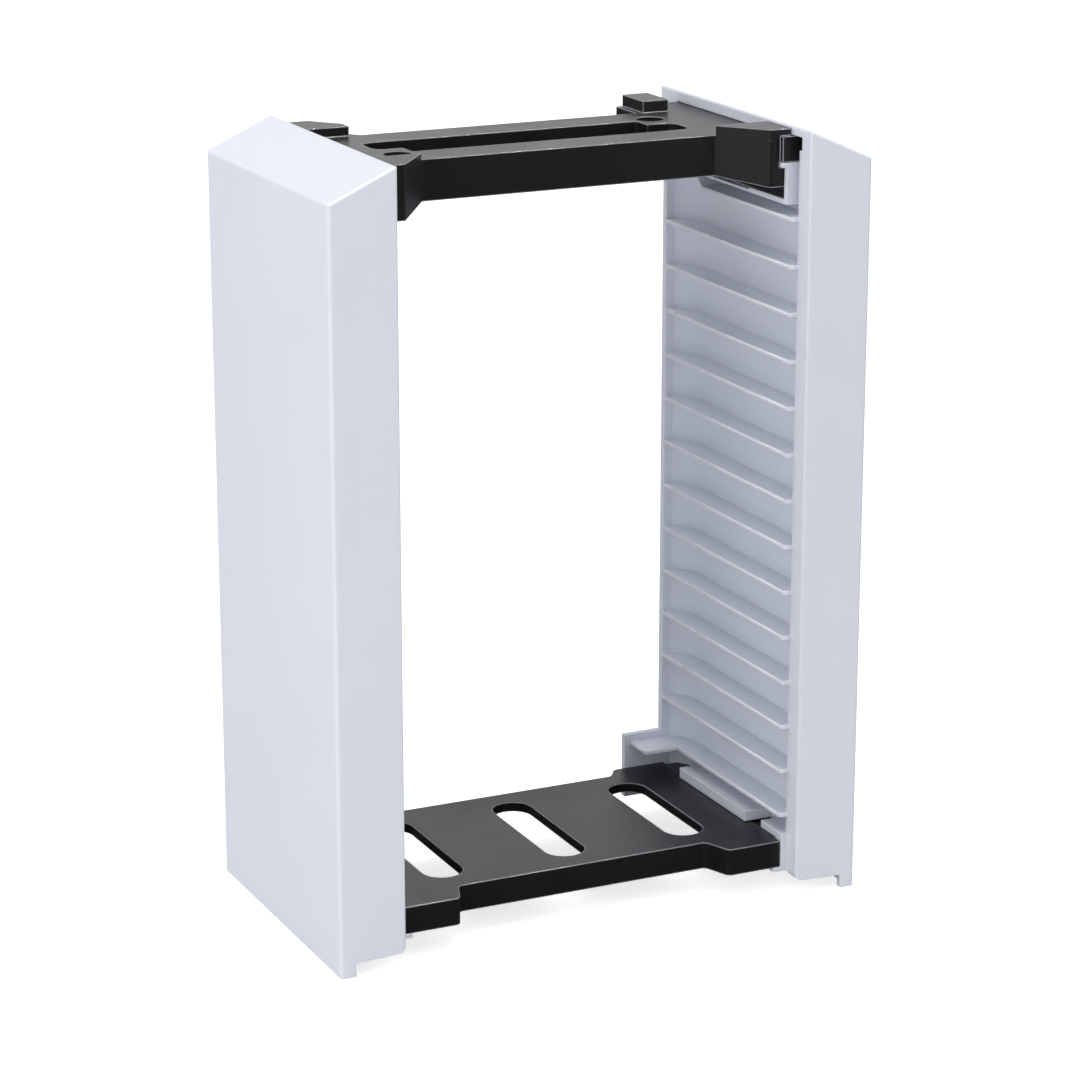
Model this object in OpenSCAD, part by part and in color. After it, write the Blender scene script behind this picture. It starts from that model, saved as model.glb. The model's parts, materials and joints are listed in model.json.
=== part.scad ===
/* [Discs] */
// Width of one disc case, which lies across the rack
case_w = 170; // [150:1:190]
// Thickness of one disc case
case_t = 15; // [12:0.5:18]
// Number of disc cases, one above the other
case_count = 13; // [8:1:14]
// Free space between a case's end and the lip beside it
side_play = 1; // [0.5:0.1:2]
// Free height above each case
stack_play = 2.3; // [1.5:0.1:4]
// Thickness of a shelf that holds a case's end
shelf_t = 1.6; // [1.2:0.1:2.4]
// How far a shelf reaches past the lip, under the case
shelf_reach = 3.5; // [2.5:0.25:6]

/* [Side covers] */
// Width of a side panel, from its lip to its outer face
panel_w = 27.5; // [24:0.5:34]
// Depth of a side panel, front to back
panel_d = 126; // [120:1:150]
// Wall of a side cover
skin_t = 2.4; // [1.8:0.1:3]
// How much lower the top is at the outer face than at the lip
top_drop = 12.5; // [6:0.5:18]
// Radius of the cover's long outer edges
edge_r = 1.5; // [1:0.5:4]
// Width of the runner that the cover stands on
foot_w = 6.5; // [5:0.5:9]
// Height of the runner under the front face
foot_h = 5.6; // [3:0.2:7]
// Depth of the lip beside the front opening, front to back
lip_d = 7; // [5:0.5:10]
// Height of the lip's inner corner above the runner's top
lip_rise = 0.9; // [0:0.1:2]
// Radius of the rounded corner at the lip's foot
lip_foot_r = 3; // [1:0.5:4]
// Depth of the rebate at the panel's back inner edge
back_step = 10; // [6:0.5:14]

/* [Disc guides] */
// Wall of the guide's web and front wall
web_t = 2; // [1.6:0.1:3]
// How far the web lies behind the lip
web_set = 7.8; // [6:0.2:10]
// Thickness of the guide's back wall, which stops the cases
stop_t = 3; // [2:0.5:4]
// Depth over which the web curves in to meet the back wall
curve_d = 14; // [8:1:20]
// Space between the base plate and the lowest shelf
low_gap = 10.2; // [8:0.2:14]
// Space between the top shelf and the cradle of the top beam
cradle_gap = 4.3; // [3:0.1:8]
// Thickness of the cradle's floor and walls
cradle_t = 1.9; // [1.6:0.1:2.6]
// Height of the cradle's front wall above its floor
cradle_h = 14.6; // [12:0.2:16]
// Depth of the hook at the top of the cradle's front wall
hook_d = 6; // [4:0.5:8]
// Diameter of the pins that hold a cover to its guide
pin_d = 4; // [3:0.2:5]

/* [Base plate] */
// Height of the base plate's underside above the table
plate_z = 10.3; // [9:0.1:14]
// Thickness of the base plate over its skirt
plate_t = 11.2; // [9:0.2:14]
// Wall of the base plate's top and skirt
plate_wall = 2.6; // [2:0.1:3.4]
// Depth of the base plate between its ears
plate_mid_d = 86; // [70:1:90]
// Length of an ear of the base plate, measured in from the lip
ear_l = 31; // [28:1:36]
// Run of the slanted edge of an ear
ear_run = 4.5; // [2:0.5:7]
// Length of a round-ended slot in the base plate
slot_l = 66; // [40:1:70]
// Width of a slot in the base plate
slot_w = 17; // [10:0.5:20]
// Distance between neighbouring slots
slot_pitch = 54; // [40:1:56]
// Depth of the rim around each slot, and of the plate's back edge
slot_rim = 4; // [3.6:0.2:6]

/* [Top beam] */
// Height of the beam between its ends
beam_h = 16; // [12:0.5:17]
// How much deeper the beam's ends are, down to the cradles
end_drop = 7.7; // [6.1:0.2:9.1]
// Depth of the beam between its ends
beam_d = 59; // [54:0.5:68]
// Length of a widened end of the beam, measured in from the lip
beam_end_l = 24; // [22:0.5:30]
// Run of the slanted faces where the beam widens
flare_run = 14.7; // [10:0.1:16]
// Height of the raised corners above the beam's top
corner_h = 3.8; // [2:0.2:4]
// Height of the raised corner at the front left, which is lower
low_corner_h = 2.4; // [1.2:0.2:4]
// Height of the panel's lip above the beam's top
crown = 5.2; // [4.6:0.2:8]
// Wall of the beam's tray and skirts
beam_wall = 2.4; // [1.8:0.1:3]
// Length of beam between the tray's wide part and a widened end
tray_gap = 8; // [6:0.5:16]
// Width of the tray, front to back
tray_w = 25; // [20:0.5:28]
// Length of the tray's narrow tongue at each end
tray_tongue = 11.5; // [8:0.5:12]
// Width of the tray's tongues
tongue_w = 16; // [12:0.5:18]
// How far the tray stands to the left of the beam's middle
tray_shift = 4.5; // [0:0.5:5]
// Diameter of the round holes beside the tray
hole_d = 11.5; // [8:0.5:12]

/* [Hidden] */

white = "#e4e7ee";
grey_white = "#d5d9e2";
black = "#1d1d1f";

// Gaps left between pieces that slide together
slip = 0.2;
fit = 0.3;
// Length by which a cut runs past the face that it opens
past = 1;
// Length by which a rib or post sinks into the wall it grows from
sink = 0.5;
// Radius of the small rounded corners
small_r = 0.5;
// Thickness of the stiffening ribs
rib_t = 1.8;
arc_steps = 8;

// Places across the rack, measured from its middle plane
lip_x = case_w / 2 + side_play;
shelf_x = lip_x - shelf_reach;
web_x = lip_x + web_set;
web_back_x = web_x + web_t;
outer_x = lip_x + panel_w;
skin_x = outer_x - skin_t;
plate_half = lip_x - ear_l;
beam_half = lip_x - beam_end_l;
tray_half = beam_half - tray_gap;

// Places front to back
front_y = -panel_d / 2;
back_y = panel_d / 2;
bay_front_y = front_y + lip_d + slip;
stop_y = back_y - back_step - stop_t;
bay_mid_y = (bay_front_y + stop_y) / 2;
bay_d = stop_y - bay_front_y;

// Heights
pitch = case_t + stack_play + shelf_t;
plate_top_z = plate_z + plate_t;
low_shelf_z = plate_top_z + low_gap + shelf_t;
top_shelf_z = low_shelf_z + case_count * pitch;
cradle_z = top_shelf_z + cradle_gap;
seat_z = cradle_z + cradle_t;
beam_low_z = seat_z + end_drop;
beam_top_z = beam_low_z + beam_h;
lip_top_z = beam_top_z + crown;
outer_top_z = lip_top_z - top_drop;
guide_low_z = plate_z - web_t;
guide_top_z = beam_top_z - web_t * 2;
slope = atan(top_drop / panel_w);

// Points of a polygon whose corners are rounded, each corner given as [x, y, radius]
function unit(v) = v / norm(v);
function corner(p, q, s, r) =
    let (a = unit([p[0] - q[0], p[1] - q[1]]),
         b = unit([s[0] - q[0], s[1] - q[1]]),
         half = acos(a * b) / 2,
         centre = [q[0], q[1]] + unit(a + b) * r / sin(half),
         from = [q[0], q[1]] + a * r / tan(half) - centre,
         turn = (a[0] * b[1] - a[1] * b[0] > 0 ? -1 : 1) * (180 - 2 * half))
    [for (i = [0 : arc_steps])
        let (t = turn * i / arc_steps)
        centre + [from[0] * cos(t) - from[1] * sin(t), from[0] * sin(t) + from[1] * cos(t)]];
function rounded(pts) =
    [for (i = [0 : len(pts) - 1])
        let (p = pts[(i + len(pts) - 1) % len(pts)], q = pts[i], s = pts[(i + 1) % len(pts)])
        each (q[2] > 0 ? corner(p, q, s, q[2]) : [[q[0], q[1]]])];

// A profile drawn across and up, drawn out from front to back
module along_depth(from, to) {
    translate([0, to, 0]) rotate([90, 0, 0]) linear_extrude(to - from) children();
}

module box(low, high) {
    translate(low) cube(high - low);
}

// A straight slot with round ends that runs front to back
module round_slot(length, width) {
    square([width, length - width], center = true);
    for (side = [-1, 1])
        translate([0, side * (length - width) / 2]) circle(d = width, $fn = 48);
}

// Side cover, drawn for the right-hand side: outer face, front, sloping top, back and runner
lip_r = edge_r * 0.6;

module cover_block() {
    intersection() {
        along_depth(front_y, back_y)
            polygon(rounded([
                [lip_x, foot_h + lip_rise, lip_foot_r],
                [outer_x - foot_w, foot_h, small_r],
                [outer_x - foot_w, 0, small_r],
                [outer_x, 0, small_r],
                [outer_x, outer_top_z, edge_r],
                [lip_x, lip_top_z, lip_r]]));
        linear_extrude(lip_top_z + past)
            polygon(rounded([
                [lip_x, front_y, lip_r],
                [outer_x, front_y, edge_r],
                [outer_x, back_y, edge_r],
                [lip_x, back_y, lip_r]]));
    }
}

// Rounds the sloping front and back edges of the cover's top
module top_edge_cut(side) {
    translate([lip_x, side * back_y, lip_top_z])
        rotate([0, slope, 0])
            translate([-panel_w / 2, 0, 0])
                rotate([90, 0, 90])
                    linear_extrude(panel_w * 2)
                        mirror([side > 0 ? 0 : 1, 0])
                            difference() {
                                translate([-edge_r, -edge_r]) square(edge_r + past);
                                translate([-edge_r, -edge_r]) circle(r = edge_r, $fn = 48);
                            }
}

// Height of the sloping top at a place across the panel
function top_at(x) = lip_top_z - (x - lip_x) * tan(slope);

// Pins on the cover that enter posts on the guide, in rows of two
pin_y = bay_d * 0.32;
pin_rows = [0.12, 0.5, 0.88];
post_x = web_back_x + (skin_x - web_back_x) * 0.45;
post_d = pin_d * 2;
function row_z(share) = low_shelf_z + (top_shelf_z - low_shelf_z) * share - shelf_t / 2;

module at_pins(x) {
    for (share = pin_rows, side = [-1, 1])
        translate([x, bay_mid_y + side * pin_y, row_z(share)]) rotate([0, 90, 0]) children();
}

// Ends of the top beam, where they pass under the cover's crown
flare_y = stop_y - 2;
beam_end_x = lip_x + skin_t + 2.2;
tongue_top_z = top_at(lip_x + skin_t) - skin_t / cos(slope) - fit;

// Ribs behind the cover's outer face
cover_rib_d = 5;
cover_rib_rows = [0.31, 0.69];

module right_cover_shape() {
    difference() {
        cover_block();
        top_edge_cut(1);
        top_edge_cut(-1);
        // hollow behind the skin, open below
        along_depth(front_y + skin_t, back_y - skin_t)
            polygon([
                [lip_x + skin_t, -past], [skin_x, -past],
                [skin_x, top_at(skin_x) - skin_t / cos(slope)],
                [lip_x + skin_t, top_at(lip_x + skin_t) - skin_t / cos(slope)]]);
        // open inner side, with the lip left in front and the crown left above
        box([lip_x - past, front_y + lip_d, -past],
            [lip_x + skin_t + past, back_y + past, guide_top_z + slip]);
        // way through the crown for the beam's end and for the tongue at its front
        box([lip_x - past, front_y + lip_d, guide_top_z],
            [lip_x + skin_t + past, flare_y + fit, beam_top_z + slip]);
        box([lip_x - past, front_y + lip_d, guide_top_z],
            [lip_x + skin_t + past, fit - flare_y + beam_wall, tongue_top_z + slip]);
        // bottom of the back wall, cut short between the runners
        box([lip_x - past, back_y - skin_t - past, -past], [outer_x - foot_w, back_y + past, foot_h]);
    }
    at_pins(post_x) cylinder(d = post_d, h = skin_x - post_x + sink, $fn = 40);
    at_pins(web_back_x + fit) cylinder(d = pin_d, h = post_x - web_back_x, $fn = 32);
    for (share = cover_rib_rows)
        box([skin_x - cover_rib_d, front_y + skin_t - sink, row_z(share)],
            [skin_x + sink, back_y - skin_t + sink, row_z(share) + rib_t]);
}

// Curve that brings the web in to the back wall
curve_in = web_x - lip_x - small_r;
curve_r = (curve_d * curve_d + curve_in * curve_in) / (2 * curve_in);
curve_a = asin(curve_d / curve_r);
function web_curve(out) =
    [for (i = [0 : arc_steps])
        let (t = curve_a * i / arc_steps)
        [web_x - curve_r + (curve_r + out) * cos(t), stop_y - curve_d + (curve_r + out) * sin(t)]];
function turned(list) = [for (i = [len(list) - 1 : -1 : 0]) list[i]];

// Plan of the guide's wall: front wall, web, curve and back stop in one line
module guide_plan() {
    polygon(concat(
        [[lip_x + slip, bay_front_y], [web_back_x, bay_front_y], [web_back_x, stop_y - curve_d]],
        [for (p = web_curve(web_t)) if (p[1] < stop_y + stop_t && p[1] > stop_y - curve_d) p],
        [[web_back_x, stop_y + web_t], [web_back_x, stop_y + stop_t], [shelf_x, stop_y + stop_t],
         [shelf_x, stop_y]],
        turned(web_curve(0)),
        [[web_x, bay_front_y + web_t], [lip_x + slip, bay_front_y + web_t]]));
}

// Places inside the guide's walls, where the parts that grow from them end
web_mid_x = web_x + web_t / 2;
stop_mid_y = stop_y + stop_t / 2;

// Plan of one shelf, from its tip to the middle of the web
shelf_front_y = bay_front_y + web_t / 2;
shelf_r = 2;

module shelf_plan() {
    polygon(rounded(concat(
        [[shelf_x, shelf_front_y, shelf_r], [web_mid_x, shelf_front_y, 0], [web_mid_x, stop_y - curve_d, 0]],
        [for (p = web_curve(web_t / 2)) if (p[1] < stop_y) [p[0], p[1], 0]],
        [[shelf_x, stop_mid_y, 0]])));
}

// Lowest shelf, which is wider at the back
platform_reach = 18.5;
platform_y = bay_d * 0.33;

module low_shelf_plan() {
    shelf_plan();
    polygon(rounded([
        [lip_x - platform_reach, platform_y, shelf_r], [lip_x, platform_y, 0],
        [lip_x, stop_mid_y, 0], [lip_x - platform_reach, stop_mid_y, 0]]));
}

// A profile drawn front to back and up, drawn out across the rack
module across(from, to) {
    translate([from, 0, 0]) rotate([90, 0, 90]) linear_extrude(to - from) children();
}

// Cradle for one end of the top beam: floor, front wall and the hook at its top
cradle_inset = 0.25;
cradle_x = shelf_x + cradle_inset;
cradle_y = -flare_y - cradle_t - fit;
hook_z = seat_z + cradle_h;
hook_reach = 1.9;
hook_x = cradle_x - hook_reach;
rim_dip = 0.8;
rim_dip_y = [-bay_d * 0.19, bay_d * 0.11];

module cradle() {
    difference() {
        across(cradle_x, web_mid_x)
            polygon([
                [cradle_y, cradle_z], [stop_mid_y, cradle_z], [stop_mid_y, seat_z],
                [cradle_y + cradle_t, seat_z], [cradle_y + cradle_t, hook_z - slip],
                [cradle_y, hook_z - slip]]);
        // lowered part of the floor's rim
        box([cradle_x - past, rim_dip_y[0], seat_z - rim_dip],
            [cradle_x + cradle_t, rim_dip_y[1], seat_z + past]);
    }
    across(hook_x, web_mid_x)
        polygon([
            [cradle_y, hook_z - cradle_t], [cradle_y + hook_d, hook_z - cradle_t],
            [cradle_y + hook_d, hook_z], [cradle_y, hook_z]]);
}

// Top shelf: its back part rises to meet the underside of the cradle
rise_y = bay_d * 0.18;
rise_d = 5;

module top_shelf() {
    low = top_shelf_z - shelf_t;
    high = cradle_z - shelf_t + slip;
    intersection() {
        translate([0, 0, low]) linear_extrude(cradle_z - low + past) shelf_plan();
        across(0, outer_x)
            polygon([
                [front_y, low], [rise_y, low], [rise_y + rise_d, high], [back_y, high],
                [back_y, high + shelf_t], [rise_y + rise_d, high + shelf_t],
                [rise_y, low + shelf_t], [front_y, low + shelf_t]]);
    }
}

// Socket for one end of the base plate: how far its parts stand in from the lip
floor_reach = 6;
rim_reach = 2.6;
mid_block_reach = 5.5;
wide_stop_reach = 21;
rim_x = lip_x - rim_reach;

// Blocks above the plate's end, in front and in the middle
block_low_z = plate_top_z + fit;
front_block_h = 3;
mid_block_h = 4.4;
front_block_y = -bay_d * 0.36;
mid_block_y = [-bay_d * 0.28, bay_d * 0.27];
socket_y = bay_front_y + small_r;
rim_d = 5;

module plate_socket() {
    // floor, and the rim at the end of the plate's front ear
    box([lip_x - floor_reach, socket_y, guide_low_z + slip], [web_mid_x, stop_mid_y, plate_z]);
    box([rim_x, socket_y, guide_low_z + slip],
        [lip_x + web_t, socket_y + rim_d, block_low_z + front_block_h]);
    // blocks
    box([rim_x, socket_y, block_low_z], [web_mid_x, front_block_y, block_low_z + front_block_h]);
    box([lip_x - mid_block_reach, mid_block_y[0], block_low_z],
        [web_mid_x, mid_block_y[1], block_low_z + mid_block_h]);
    // back stop widened towards the middle, behind the plate's ear
    box([lip_x - wide_stop_reach, stop_y, guide_low_z],
        [shelf_x + past, stop_y + stop_t, low_shelf_z + stop_t]);
}

// Return on the guide that closes the gap to the cover's back
return_x = lip_x + skin_t + past + slip;

module right_guide_shape() {
    difference() {
        union() {
            translate([0, 0, guide_low_z]) linear_extrude(guide_top_z - guide_low_z) guide_plan();
            box([return_x, stop_mid_y, guide_low_z + slip],
                [return_x + web_t, back_y - skin_t - slip, guide_top_z - slip]);
            translate([0, 0, low_shelf_z - shelf_t]) linear_extrude(shelf_t) low_shelf_plan();
            for (i = [1 : case_count - 1])
                translate([0, 0, low_shelf_z + i * pitch - shelf_t]) linear_extrude(shelf_t) shelf_plan();
            top_shelf();
            cradle();
            plate_socket();
            at_pins(web_mid_x) cylinder(d = post_d, h = post_x - fit - web_mid_x, $fn = 40);
        }
        at_pins(web_back_x) cylinder(d = pin_d + fit, h = post_x - web_back_x, $fn = 32);
    }
}

// Plan of a bar that widens into ears at its ends, drawn inside its outline by a wall
module eared_plan(half, run, mid_d, front, back, end_x, r, wall) {
    rise = front - mid_d / 2;
    x = half + wall * (norm([run, rise]) - run) / rise;
    m = mid_d / 2 - wall;
    f = front - wall;
    b = back - wall;
    e = end_x - wall;
    polygon(rounded([
        [x, -m, r], [x + run, -f, r], [e, -f, small_r], [e, b, small_r], [x + run, b, r], [x, m, r],
        [-x, m, r], [-x - run, b, r], [-e, b, small_r], [-e, -f, small_r], [-x - run, -f, r],
        [-x, -m, r]]));
}

// Top beam
skirt_drop = 2.8;
flare_x = beam_half + flare_run;
bay_end_x = lip_x - fit;
deep_x = cradle_x + fit;
beam_r = 1.5;
corner_r = 1;

// Tray: a wide part, and a narrow tongue at opposite corners that ends beside a round hole
tray_r = 2;
tongue_r = 5;
hole_inset = 4.5;
hole_x = tray_half + tray_tongue - hole_inset;
hole_y = tray_w * 0.6;

// Squared shoulder at the back right, which carries the back block
shoulder_l = 17;
shoulder_inset = [4, 3];
shoulder = [beam_half, beam_d / 2] - shoulder_inset;
shoulder_size = [shoulder_l, flare_y - shoulder[1]];
block_l = 11.3;
block_inset = [2.3, 2];
block_size = [block_l, shoulder_size[1] - block_inset[1] - 1];
block_h = crown - 0.4;

// Ribs under the beam
beam_rib_x = tray_half * 0.66;
end_rib_y = [flare_y * 0.22, flare_y * 0.94];

module beam_plan(wall = 0) {
    eared_plan(beam_half, flare_run, beam_d, flare_y, flare_y, beam_end_x, beam_r, wall);
    translate(shoulder + [wall, 0]) square(shoulder_size - [0, wall]);
}

module tray_plan(wall = 0) {
    w = tray_w / 2 + wall;
    l = tray_half + wall;
    t = tray_half + tray_tongue + wall;
    s = tongue_w - tray_w / 2 + wall;
    translate([-tray_shift, 0])
        polygon(rounded([
            [-l, -w, tray_r], [t, -w, tongue_r], [t, s, tongue_r], [l, s, small_r],
            [l, w, tray_r], [-t, w, tongue_r], [-t, -s, tongue_r], [-l, -s, small_r]]));
}

module at_holes(z) {
    for (side = [-1, 1])
        translate([side * hole_x - tray_shift, side * hole_y, z]) children();
}

// Front view of the beam: its underside falls towards the ends, which stand deep in the cradles
module beam_front_view() {
    skirt_z = beam_low_z - skirt_drop;
    polygon([
        [-beam_end_x, seat_z], [-deep_x, seat_z], [-deep_x, skirt_z], [-flare_x, skirt_z],
        [-beam_half, beam_low_z], [beam_half, beam_low_z],
        [flare_x, skirt_z], [deep_x, skirt_z], [deep_x, seat_z], [beam_end_x, seat_z],
        [beam_end_x, beam_top_z], [-beam_end_x, beam_top_z]]);
}

// Raised corner over a widened end, drawn on the right in front
module raised_plan(inset, wall) {
    rise = flare_y - beam_d / 2;
    lean = flare_run / rise;
    near_y = -beam_d / 2 - wall;
    far_x = flare_x + wall * (norm([flare_run, rise]) - flare_run) / rise;
    edge_x = far_x - (flare_y - wall + near_y) * lean;
    start = inset > 0 ? beam_half + inset + wall : edge_x;
    slant = inset > 0 ? [[start, near_y - (start - edge_x) / lean, 0]] : [];
    polygon(rounded(concat(
        [[start, near_y, 0], [bay_end_x - wall, near_y, 0],
         [bay_end_x - wall, -flare_y + wall, corner_r], [far_x, -flare_y + wall, corner_r]],
        slant)));
}

// The four raised places: both front corners, the back left corner and the back block
back_corner_inset = 5;

module corners(from_z, wall = 0) {
    raise(from_z, corner_h, wall) raised_plan(0, wall);
    raise(from_z, corner_h, wall) rotate(180) raised_plan(back_corner_inset, wall);
    raise(from_z, low_corner_h, wall) mirror([1, 0]) raised_plan(0, wall);
    raise(from_z, block_h, wall)
        translate(shoulder + block_inset + [wall, wall]) square(block_size - [wall, wall] * 2);
}

module raise(from_z, height, wall) {
    top_z = beam_top_z + height - (wall > 0 ? beam_wall : 0);
    translate([0, 0, from_z]) linear_extrude(top_z - from_z) children();
}

module top_beam_shape() {
    difference() {
        union() {
            intersection() {
                along_depth(-flare_y - past, flare_y + past) beam_front_view();
                translate([0, 0, seat_z - past])
                    linear_extrude(beam_top_z - seat_z + 2 * past) beam_plan();
            }
            corners(beam_top_z - sink);
            // tongue at each front corner, over the hook of the cradle and under the cover's top
            for (side = [0, 1])
                mirror([side, 0, 0])
                    along_depth(cradle_y, -flare_y + beam_wall)
                        polygon([
                            [hook_x, hook_z], [web_x - fit, hook_z], [web_x - fit, guide_top_z],
                            [beam_end_x, beam_top_z - slip], [lip_x + skin_t, tongue_top_z],
                            [hook_x, tongue_top_z]]);
        }
        // notch for the cradle's hook
        for (side = [0, 1])
            mirror([side, 0, 0])
                box([hook_x - fit, cradle_y - past, hook_z - cradle_t - fit],
                    [web_x + past, cradle_y + hook_d + fit, hook_z + fit]);
        // hollow from below, around the tray and the round holes
        difference() {
            translate([0, 0, seat_z - past]) linear_extrude(beam_top_z - beam_wall - seat_z + past)
                difference() {
                    beam_plan(beam_wall);
                    tray_plan(beam_wall);
                    at_holes(0) circle(d = hole_d + beam_wall * 2, $fn = 64);
                }
            // ribs left standing, and the inner wall of each deep end
            for (x = [-beam_rib_x, 0, beam_rib_x])
                box([x - rib_t / 2, -beam_d / 2, beam_low_z + past], [x + rib_t / 2, beam_d / 2, beam_top_z]);
            for (side = [0, 1], turn = [0, 1])
                mirror([side, 0, 0]) mirror([0, turn, 0])
                    box([flare_x - rib_t / 2, end_rib_y[0], beam_low_z - skirt_drop + past],
                        [flare_x + rib_t / 2, end_rib_y[1], beam_top_z]);
            for (side = [0, 1])
                mirror([side, 0, 0])
                    box([deep_x - slip, -flare_y, seat_z - 2 * past],
                        [deep_x + beam_wall, flare_y, beam_low_z]);
        }
        // hollow inside the raised corners
        corners(beam_top_z - beam_wall - sink, beam_wall + slip);
        // tray, closed below by its floor
        translate([0, 0, beam_low_z + beam_wall]) linear_extrude(beam_h) tray_plan();
        at_holes(seat_z - past) cylinder(d = hole_d, h = beam_top_z - seat_z + 2 * past, $fn = 64);
    }
}

// Base plate
ear_front = -bay_front_y - small_r - fit;
ear_back = stop_y - fit;
ear_end_x = rim_x - fit;
plate_end_x = web_x - fit;
plate_end_y = ear_back - 2;
plate_end_drop = 0.6;
ear_r = 3;

module plate_plan(wall = 0) {
    r = max(small_r, ear_r - wall);
    eared_plan(plate_half, ear_run, plate_mid_d, ear_front, ear_back, ear_end_x, r, wall);
}

// Plan of the three slots, each drawn wider by a wall
module slots(wall = 0) {
    for (i = [-1 : 1])
        translate([i * slot_pitch, 0]) round_slot(slot_l + wall * 2, slot_w + wall * 2);
}

module base_plate_shape() {
    difference() {
        union() {
            translate([0, 0, plate_z]) linear_extrude(plate_t) plate_plan();
            // ends that go into the sockets
            for (side = [0, 1])
                mirror([side, 0, 0])
                    box([ear_end_x - plate_wall, -plate_end_y, plate_z],
                        [plate_end_x, plate_end_y, plate_top_z - plate_end_drop]);
        }
        // hollow from below, open at the back, with a shallow rim left around each slot
        difference() {
            union() {
                translate([0, 0, plate_z - past]) linear_extrude(plate_t - slot_rim + past) {
                    plate_plan(plate_wall);
                    translate([plate_wall - ear_end_x, 0])
                        square([2 * (ear_end_x - plate_wall), ear_back + past]);
                }
                translate([0, 0, plate_top_z - slot_rim - sink])
                    linear_extrude(slot_rim + sink - plate_wall)
                        difference() {
                            plate_plan(plate_wall);
                            slots(plate_wall);
                        }
            }
            // ribs left standing on both sides of each slot
            for (x = [-1.5, -0.5, 0.5, 1.5])
                box([x * slot_pitch - rib_t / 2, -ear_front, plate_z + past],
                    [x * slot_pitch + rib_t / 2, ear_front, plate_top_z]);
        }
        translate([0, 0, plate_z - past]) linear_extrude(plate_t + 2 * past) slots();
    }
}

module left_side_cover() { color(white) mirror([1, 0, 0]) right_cover_shape(); }
module right_side_cover() { color(white) right_cover_shape(); }
module left_disc_guide() { color(grey_white) mirror([1, 0, 0]) right_guide_shape(); }
module right_disc_guide() { color(grey_white) right_guide_shape(); }
module top_beam() { color(black) top_beam_shape(); }
module base_plate() { color(black) base_plate_shape(); }

left_side_cover();
right_side_cover();
left_disc_guide();
right_disc_guide();
top_beam();
base_plate();
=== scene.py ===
import json
import math

import bpy
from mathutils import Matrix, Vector


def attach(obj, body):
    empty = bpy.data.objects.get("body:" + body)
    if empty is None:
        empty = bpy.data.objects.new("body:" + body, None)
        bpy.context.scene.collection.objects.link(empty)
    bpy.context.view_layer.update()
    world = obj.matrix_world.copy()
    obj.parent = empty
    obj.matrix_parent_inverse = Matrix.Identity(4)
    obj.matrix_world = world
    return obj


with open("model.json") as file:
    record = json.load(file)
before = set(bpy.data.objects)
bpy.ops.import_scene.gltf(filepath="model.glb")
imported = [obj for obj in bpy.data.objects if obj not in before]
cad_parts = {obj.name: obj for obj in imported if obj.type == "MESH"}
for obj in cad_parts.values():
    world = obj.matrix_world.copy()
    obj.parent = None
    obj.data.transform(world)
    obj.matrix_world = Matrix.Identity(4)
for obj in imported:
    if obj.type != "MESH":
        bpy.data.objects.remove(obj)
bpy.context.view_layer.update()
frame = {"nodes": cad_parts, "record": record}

# All lengths are in metres unless a name says mm
mm = 0.001


def hexColour(text):
    # sRGB hex to the linear colour that the shader wants
    channels = [int(text[i:i + 2], 16) / 255 for i in (0, 2, 4)]
    linear = [c / 12.92 if c <= 0.04045 else ((c + 0.055) / 1.055) ** 2.4
              for c in channels]
    return (*linear, 1.0)


def addNode(tree, kind, settings=None, inputs=None, links=None):
    # settings: node properties, inputs: socket values, links: socket -> (node, output)
    node = tree.nodes.new(kind)
    for name, value in (settings or {}).items():
        setattr(node, name, value)
    for key, value in (inputs or {}).items():
        node.inputs[key].default_value = value
    for key, (source, output) in (links or {}).items():
        tree.links.new(source.outputs[output], node.inputs[key])
    return node


# What all the mouldings share. The edge values are the cosine between the bevelled and
# the plain normal, where the painted edge highlight starts and where it is full
surface = {
    "grainDetail": 2.0, "grainRoughness": 0.55,
    "flowDetail": 3.0, "flowRoughness": 0.5, "flowDistortion": 0.4,
    "flowLow": 0.3, "flowHigh": 0.7,
    "edgeSamples": 6, "edgeStart": 0.985, "edgeFull": 0.89,
}


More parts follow.
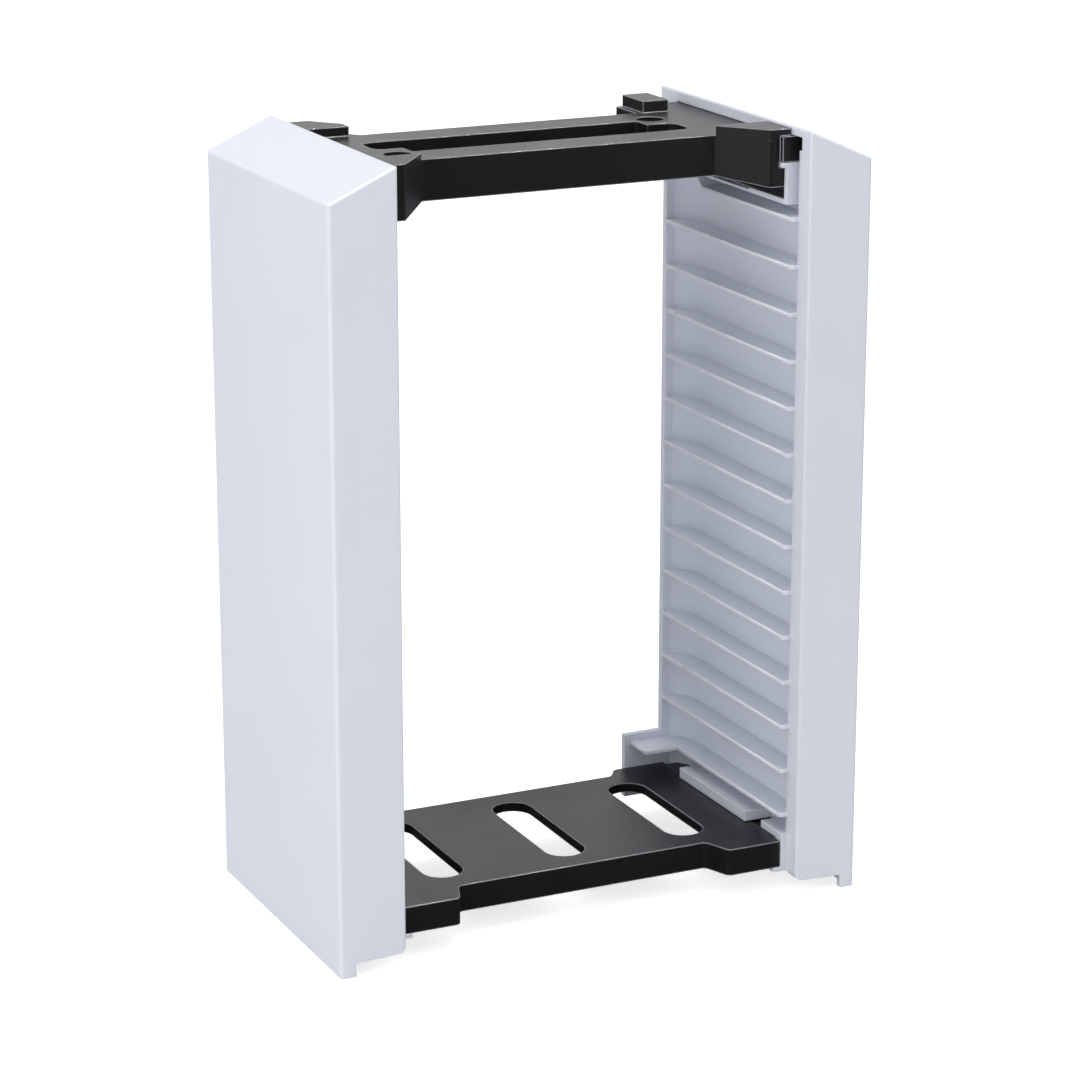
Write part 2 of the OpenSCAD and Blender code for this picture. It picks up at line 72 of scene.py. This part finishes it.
def mouldedPlastic(name, look):
    material = bpy.data.materials.new(name)
    material.use_nodes = True
    tree = material.node_tree
    tree.nodes.clear()
    place = addNode(tree, "ShaderNodeTexCoord")
    # grain left by the spark-eroded mould
    grain = addNode(
        tree, "ShaderNodeTexNoise",
        inputs={"Scale": 1 / (look["grainMm"] * mm), "Detail": surface["grainDetail"],
                "Roughness": surface["grainRoughness"]},
        links={"Vector": (place, "Object")})
    # slow change of gloss where the melt cooled unevenly
    flow = addNode(
        tree, "ShaderNodeTexNoise",
        inputs={"Scale": 1 / (look["flowMm"] * mm), "Detail": surface["flowDetail"],
                "Roughness": surface["flowRoughness"], "Distortion": surface["flowDistortion"]},
        links={"Vector": (place, "Object")})
    # rounded edges: the bevelled normal also tells where an edge is near
    softEdge = addNode(tree, "ShaderNodeBevel", {"samples": surface["edgeSamples"]},
                       {"Radius": look["edgeMm"] * mm})
    flat = addNode(tree, "ShaderNodeNewGeometry")
    facing = addNode(tree, "ShaderNodeVectorMath", {"operation": "DOT_PRODUCT"},
                     links={0: (softEdge, "Normal"), 1: (flat, "Normal")})
    edgeMask = addNode(
        tree, "ShaderNodeMapRange", {"interpolation_type": "SMOOTHSTEP"},
        {"From Min": surface["edgeStart"], "From Max": surface["edgeFull"],
         "To Min": 0.0, "To Max": 1.0},
        {"Value": (facing, "Value")})
    # sockets 6 and 7 are the two colours of a colour mix, and output 2 is its result
    tint = addNode(tree, "ShaderNodeMix", {"data_type": "RGBA"},
                   {6: hexColour(look["colour"]), 7: hexColour(look["flowColour"])},
                   {0: (flow, "Fac")})
    # painted highlight: the edges take a paler colour in place of the bright lines that light
    # draws on rounded edges
    paintedEdgeHighlight = addNode(tree, "ShaderNodeMix", {"data_type": "RGBA"},
                       {7: hexColour(look["edgeHighlightColour"])},
                       {0: (edgeMask, "Result"), 6: (tint, 2)})
    gloss = addNode(
        tree, "ShaderNodeMapRange", None,
        {"From Min": surface["flowLow"], "From Max": surface["flowHigh"],
         "To Min": look["roughness"] - look["roughSpread"],
         "To Max": look["roughness"] + look["roughSpread"]},
        {"Value": (flow, "Fac")})
    edgeGloss = addNode(tree, "ShaderNodeMath", {"operation": "MULTIPLY_ADD"},
                        {1: -look["edgePolish"]},
                        {0: (edgeMask, "Result"), 2: (gloss, "Result")})
    relief = addNode(
        tree, "ShaderNodeBump", None,
        {"Strength": look["grainStrength"], "Distance": look["grainDepthMm"] * mm},
        {"Height": (grain, "Fac"), "Normal": (softEdge, "Normal")})
    shader = addNode(
        tree, "ShaderNodeBsdfPrincipled", None,
        {"IOR": look["ior"], "Specular IOR Level": look["specular"]},
        {"Base Color": (paintedEdgeHighlight, 2), "Roughness": (edgeGloss, "Value"),
         "Normal": (relief, "Normal")})
    addNode(tree, "ShaderNodeOutputMaterial", links={"Surface": (shader, "BSDF")})
    return material


# Injection-moulded ABS, satin white with a cold blue tint
coverLook = {
    "colour": "E2E5EE", "flowColour": "E6E9F1", "edgeHighlightColour": "FCFDFF",
    "roughness": 0.36, "roughSpread": 0.03, "edgePolish": 0.08, "ior": 1.53, "specular": 0.5,
    "grainMm": 0.5, "grainDepthMm": 0.012, "grainStrength": 0.25, "flowMm": 60, "edgeMm": 0.7,
}
# The same ABS on the inner tray, a shade greyer
guideLook = {
    "colour": "DCE0EA", "flowColour": "E0E4ED", "edgeHighlightColour": "FCFDFF",
    "roughness": 0.4, "roughSpread": 0.03, "edgePolish": 0.08, "ior": 1.53, "specular": 0.5,
    "grainMm": 0.5, "grainDepthMm": 0.012, "grainStrength": 0.25, "flowMm": 45, "edgeMm": 0.7,
}
# The tray's ABS on the shelf tips, glossier and paler: the paler colour is a painted highlight
# along the tips
tipHighlightLook = dict(guideLook, colour="F0F3FA", flowColour="F4F6FC", roughness=0.28)
# Black ABS from a textured mould: its grain breaks up the gloss. The light grey edge colour
# is a painted highlight along the rounded edges, lighter than gloss alone would make them
blackLook = {
    "colour": "131315", "flowColour": "18181A", "edgeHighlightColour": "B6B8BE",
    "roughness": 0.36, "roughSpread": 0.04, "edgePolish": 0.2, "ior": 1.53, "specular": 0.3,
    "grainMm": 0.8, "grainDepthMm": 0.09, "grainStrength": 1.0, "flowMm": 40, "edgeMm": 0.8,
}

whiteAbs = mouldedPlastic("whiteSatinAbs", coverLook)
paleAbs = mouldedPlastic("paleSatinAbs", guideLook)
tipHighlightAbs = mouldedPlastic("paleTipHighlightAbs", tipHighlightLook)
blackAbs = mouldedPlastic("blackTexturedAbs", blackLook)

finishes = {
    "left_side_cover": whiteAbs, "right_side_cover": whiteAbs,
    "left_disc_guide": paleAbs, "right_disc_guide": paleAbs,
    "top_beam": blackAbs, "base_plate": blackAbs,
}
for node, finish in finishes.items():
    part = frame["nodes"][node]
    part.data.materials.clear()
    part.data.materials.append(finish)
print("materials on", len(finishes), "nodes")


# The case slots in the record stop short of the shelves and of the back stop by this
slotPlay = 0.5 * mm
caseSlots = [opening["box_m"] for opening in frame["record"]["physics"]["openings"]
             if opening["name"].startswith("case_slot_")]
lowSlotFloor = caseSlots[0][0][2]
nextSlotFloor = caseSlots[1][0][2]

# The rods that round the tips of the shelves
shelfNose = {
    "radius": 0.5 * mm, "proud": 0.05 * mm, "pastFace": 0.15 * mm, "sides": 16,
    "pitch": nextSlotFloor - lowSlotFloor, "lowestTop": lowSlotFloor - slotPlay,
}
shelfFace = 82.5 * mm
shelfFront = -52.8 * mm
stopFront = caseSlots[0][1][1] + slotPlay

# Each run of noses: how many, from which shelf up, and where its rods lie
noseRuns = {
    "shelf_noses": {"count": len(caseSlots), "first": 0,
                    "face": shelfFace, "front": shelfFront, "back": stopFront},
    "top_shelf_nose": {"count": 1, "first": len(caseSlots),
                       "face": shelfFace, "front": shelfFront, "back": 19.0 * mm},
    "wide_shelf_nose": {"count": 1, "first": 0,
                        "face": 67.5 * mm, "front": 36.9 * mm, "back": stopFront},
}


def geometryTree(name, sizes):
    # An empty tree with one named input for each size, whole numbers as integers
    tree = bpy.data.node_groups.new(name, "GeometryNodeTree")
    tree.interface.new_socket("Geometry", in_out="OUTPUT", socket_type="NodeSocketGeometry")
    for size, value in sizes.items():
        kind = "NodeSocketInt" if isinstance(value, int) else "NodeSocketFloat"
        tree.interface.new_socket(size, in_out="INPUT", socket_type=kind)
    return tree, tree.nodes.new("NodeGroupInput"), tree.nodes.new("NodeGroupOutput")


def plainMesh(name, tree, sizes):
    # Runs the tree on an empty object and keeps the result as a plain mesh
    holder = bpy.data.objects.new(name + "Holder", bpy.data.meshes.new(name + "Holder"))
    bpy.context.collection.objects.link(holder)
    modifier = holder.modifiers.new("build", "NODES")
    modifier.node_group = tree
    sockets = {item.name: item.identifier for item in tree.interface.items_tree
               if item.in_out == "INPUT"}
    for size, value in sizes.items():
        modifier[sockets[size]] = value
    bpy.context.view_layer.update()
    evaluated = holder.evaluated_get(bpy.context.evaluated_depsgraph_get())
    mesh = bpy.data.meshes.new_from_object(evaluated)
    bpy.data.objects.remove(holder)
    piece = bpy.data.objects.new(name, mesh)
    bpy.context.collection.objects.link(piece)
    return piece


def shelfNoses(name, side, run):
    # A rounded nose along the tip of each shelf of the run
    tip = run["face"] + shelfNose["radius"] - shelfNose["pastFace"]
    top = shelfNose["lowestTop"] + run["first"] * shelfNose["pitch"] + shelfNose["proud"]
    sizes = {
        "Count": run["count"], "Pitch": shelfNose["pitch"], "Radius": shelfNose["radius"],
        "Length": run["back"] - run["front"], "Tip": side * tip, "Front": run["front"],
        "Height": top - shelfNose["radius"],
    }
    tree, given, result = geometryTree(name + "Tree", sizes)
    half = addNode(tree, "ShaderNodeMath", {"operation": "MULTIPLY"}, {1: 0.5},
                   {0: (given, "Length")})
    middle = addNode(tree, "ShaderNodeMath", {"operation": "ADD"},
                     links={0: (half, 0), 1: (given, "Front")})
    rod = addNode(tree, "GeometryNodeMeshCylinder", inputs={"Vertices": shelfNose["sides"]},
                  links={"Radius": (given, "Radius"), "Depth": (given, "Length")})
    # the cylinder stands along Z, and the shelves run along Y
    turned = addNode(tree, "GeometryNodeTransform", inputs={"Rotation": (math.pi / 2, 0, 0)},
                     links={"Geometry": (rod, "Mesh")})
    start = addNode(tree, "ShaderNodeCombineXYZ",
                    links={"X": (given, "Tip"), "Y": (middle, 0), "Z": (given, "Height")})
    step = addNode(tree, "ShaderNodeCombineXYZ", links={"Z": (given, "Pitch")})
    line = addNode(
        tree, "GeometryNodeMeshLine",
        links={"Count": (given, "Count"), "Start Location": (start, 0), "Offset": (step, 0)})
    copies = addNode(tree, "GeometryNodeInstanceOnPoints",
                     links={"Points": (line, 0), "Instance": (turned, 0)})
    real = addNode(tree, "GeometryNodeRealizeInstances", links={"Geometry": (copies, 0)})
    smooth = addNode(tree, "GeometryNodeSetShadeSmooth", links={"Geometry": (real, 0)})
    # the noses take the paler tip material, whose colour is a painted highlight
    painted = addNode(tree, "GeometryNodeSetMaterial", inputs={"Material": tipHighlightAbs},
                      links={"Geometry": (smooth, 0)})
    tree.links.new(painted.outputs[0], result.inputs["Geometry"])
    piece = plainMesh(name, tree, sizes)
    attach(piece, "root")


for sideName, side in (("left", -1), ("right", 1)):
    for runName, run in noseRuns.items():
        shelfNoses(sideName + "_" + runName, side, run)
print("shelf noses made")


# The photo's own camera, fitted to the corners of the rack
photoView = {
    "placeMm": (-580.1, -1227.1, 542.95), "aim": (0.41069, 0.86731, -0.28126),
    "lensMm": 117.53, "sensorMm": 36, "farM": 50,
}

camera = bpy.data.cameras.new("photoCamera")
camera.lens = photoView["lensMm"]
camera.sensor_width = photoView["sensorMm"]
camera.sensor_fit = "HORIZONTAL"
camera.clip_end = photoView["farM"]
cameraObject = bpy.data.objects.new("photoCamera", camera)
cameraObject.location = [v * mm for v in photoView["placeMm"]]
cameraObject.rotation_euler = Vector(photoView["aim"]).to_track_quat("-Z", "Y").to_euler()
bpy.context.collection.objects.link(cameraObject)
bpy.context.scene.camera = cameraObject

# Camera and transmission rays see plain white. Gloss mirrors a white sweep behind and
# above the rack and a dim room in front of it. The rest of the light is a soft fill
white = (1, 1, 1, 1)
room = {
    "fillColour": (0.96, 0.975, 1.0, 1), "fillStrength": 0.6,
    "mirrorColour": (0.97, 0.98, 1.0, 1), "backWay": (0.43, 0.9, 0.0),
    "backFrom": -0.2, "backTo": 0.8, "frontGloss": 0.1, "backGloss": 1.0,
    "topFrom": 0.35, "topTo": 0.95, "topGloss": 1.1,
}

world = bpy.data.worlds.new("studioWorld")
bpy.context.scene.world = world
world.use_nodes = True
sky = world.node_tree
sky.nodes.clear()
rays = addNode(sky, "ShaderNodeLightPath")
lit = addNode(sky, "ShaderNodeBackground",
              inputs={"Color": room["fillColour"], "Strength": room["fillStrength"]})
seen = addNode(sky, "ShaderNodeBackground", inputs={"Color": white, "Strength": 1.0})
away = addNode(sky, "ShaderNodeTexCoord")
behind = addNode(sky, "ShaderNodeVectorMath", {"operation": "DOT_PRODUCT"},
                 {1: room["backWay"]}, {0: (away, "Generated")})
backGlow = addNode(
    sky, "ShaderNodeMapRange", {"interpolation_type": "SMOOTHSTEP"},
    {"From Min": room["backFrom"], "From Max": room["backTo"],
     "To Min": room["frontGloss"], "To Max": room["backGloss"]},
    {"Value": (behind, "Value")})
height = addNode(sky, "ShaderNodeSeparateXYZ", links={0: (away, "Generated")})
topGlow = addNode(
    sky, "ShaderNodeMapRange", {"interpolation_type": "SMOOTHSTEP"},
    {"From Min": room["topFrom"], "From Max": room["topTo"],
     "To Min": 0.0, "To Max": room["topGloss"]},
    {"Value": (height, "Z")})
sweep = addNode(sky, "ShaderNodeMath", {"operation": "MAXIMUM"},
                links={0: (backGlow, 0), 1: (topGlow, 0)})
mirrored = addNode(sky, "ShaderNodeBackground", inputs={"Color": room["mirrorColour"]},
                   links={"Strength": (sweep, 0)})
soft = addNode(sky, "ShaderNodeMixShader",
               links={0: (rays, "Is Glossy Ray"), 1: (lit, 0), 2: (mirrored, 0)})
direct = addNode(sky, "ShaderNodeMath", {"operation": "MAXIMUM"},
                 links={0: (rays, "Is Camera Ray"), 1: (rays, "Is Transmission Ray")})
mixed = addNode(sky, "ShaderNodeMixShader",
                links={0: (direct, 0), 1: (soft, 0), 2: (seen, 0)})
addNode(sky, "ShaderNodeOutputWorld", links={"Surface": (mixed, 0)})
print("camera and world ready")

rackMiddle = (0, 0, 0.15)
# Places and sizes in metres. The edge strip is left out of diffuse light and gives only
# the thin bright lines along the rounded edges
lamps = {
    "topSoftbox": {
        "place": (0.0, 0.0, 1.5), "aim": rackMiddle, "size": (1.4, 1.4), "watts": 6.3},
    "leftSoftbox": {
        "place": (-1.5, -0.2, 0.7), "aim": rackMiddle, "size": (1.0, 1.2), "watts": 5.0},
    "fillSoftbox": {
        "place": (-1.3, -0.95, 0.45), "aim": rackMiddle, "size": (1.0, 0.9), "watts": 4.6},
    "frontSoftbox": {
        "place": (0.9, -1.1, 0.5), "aim": (0.1, 0, 0.15), "size": (0.8, 0.8), "watts": 0.7},
    "edgeStrip": {
        "place": (0.5, -0.25, 1.4), "aim": (0.5, -0.25, 0), "size": (1.6, 0.25),
        "watts": 120.0, "glossOnly": True},
}


def areaLight(name, look):
    light = bpy.data.lights.new(name, "AREA")
    light.shape = "RECTANGLE"
    light.size, light.size_y = look["size"]
    light.energy = look["watts"]
    lamp = bpy.data.objects.new(name, light)
    lamp.location = look["place"]
    way = Vector(look["aim"]) - Vector(look["place"])
    lamp.rotation_euler = way.to_track_quat("-Z", "Y").to_euler()
    lamp.visible_diffuse = not look.get("glossOnly", False)
    bpy.context.collection.objects.link(lamp)


for lampName, lampLook in lamps.items():
    areaLight(lampName, lampLook)
print(len(lamps), "lamps placed")

# Pale floor that shows nearly white to the camera and keeps the soft shadow. Gloss sees
# it darker, so the black parts don't mirror a white floor
floorLook = {
    "colour": "F4F4F4", "glossColour": "5A5B5E", "glow": 0.72, "halfM": 6.0, "dropM": 0.0002,
}

floorMaterial = bpy.data.materials.new("studioFloor")
floorMaterial.use_nodes = True
floorTree = floorMaterial.node_tree
floorTree.nodes.clear()
floorRays = addNode(floorTree, "ShaderNodeLightPath")
paint = addNode(floorTree, "ShaderNodeBsdfDiffuse",
                inputs={"Color": hexColour(floorLook["colour"])})
glow = addNode(floorTree, "ShaderNodeEmission",
               inputs={"Color": white, "Strength": floorLook["glow"]})
both = addNode(floorTree, "ShaderNodeAddShader", links={0: (paint, 0), 1: (glow, 0)})
dim = addNode(floorTree, "ShaderNodeBsdfDiffuse",
              inputs={"Color": hexColour(floorLook["glossColour"])})
unseen = addNode(floorTree, "ShaderNodeMixShader",
                 links={0: (floorRays, "Is Glossy Ray"), 1: (paint, 0), 2: (dim, 0)})
shown = addNode(floorTree, "ShaderNodeMixShader",
                links={0: (floorRays, "Is Camera Ray"), 1: (unseen, 0), 2: (both, 0)})
addNode(floorTree, "ShaderNodeOutputMaterial", links={"Surface": (shown, 0)})
floorMesh = bpy.data.meshes.new("studioFloor")
half = floorLook["halfM"]
floorMesh.from_pydata([(-half, -half, 0), (half, -half, 0), (half, half, 0), (-half, half, 0)],
                      [], [(0, 1, 2, 3)])
floor = bpy.data.objects.new("studioFloor", floorMesh)
floor.location = (0, 0, -floorLook["dropM"])
floorMesh.materials.append(floorMaterial)
bpy.context.collection.objects.link(floor)

bpy.context.scene.view_settings.view_transform = "Standard"
print("studio ready")
